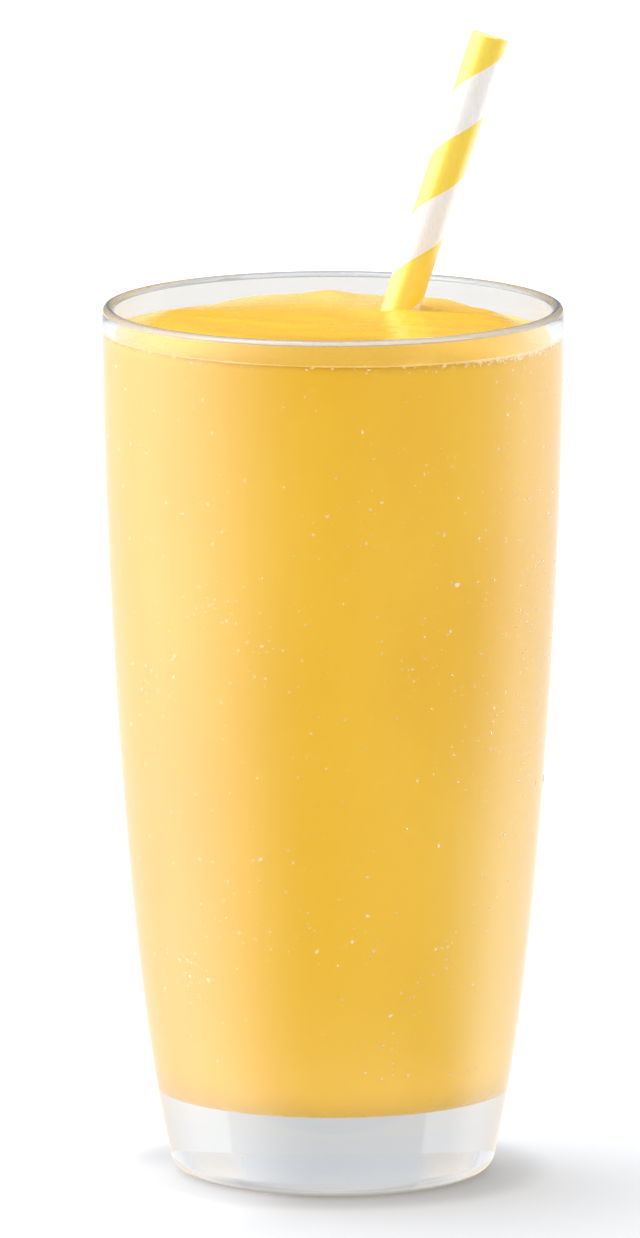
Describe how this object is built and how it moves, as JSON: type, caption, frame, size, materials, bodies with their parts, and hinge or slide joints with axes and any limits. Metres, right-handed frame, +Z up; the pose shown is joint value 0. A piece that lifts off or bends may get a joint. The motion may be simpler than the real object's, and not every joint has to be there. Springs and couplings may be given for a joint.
{
  "type": "mango smoothie in a glass",
  "caption": "Thick mango smoothie filling a heavy-based glass tumbler, with a striped paper straw standing in it.",
  "frame": {"origin": "centre of the glass's foot, on the surface that it stands on", "axes": "+Z up along the glass's axis, -Y towards the front, +X to the right, where the straw leans"},
  "size_m": [0.0802, 0.0802, 0.1989],
  "materials": {
    "clear_glass": "clear polished soda-lime glass",
    "mango_drink": "thick opaque blended fruit with a moist sheen, fine bubbles and folds",
    "straw_paper": "smooth waxed paper with one broad yellow stripe wound round white"
  },
  "bodies": {
    "root": {"glass": "clear_glass", "smoothie": "mango_drink", "straw": "straw_paper"}
  },
  "joints": []
}
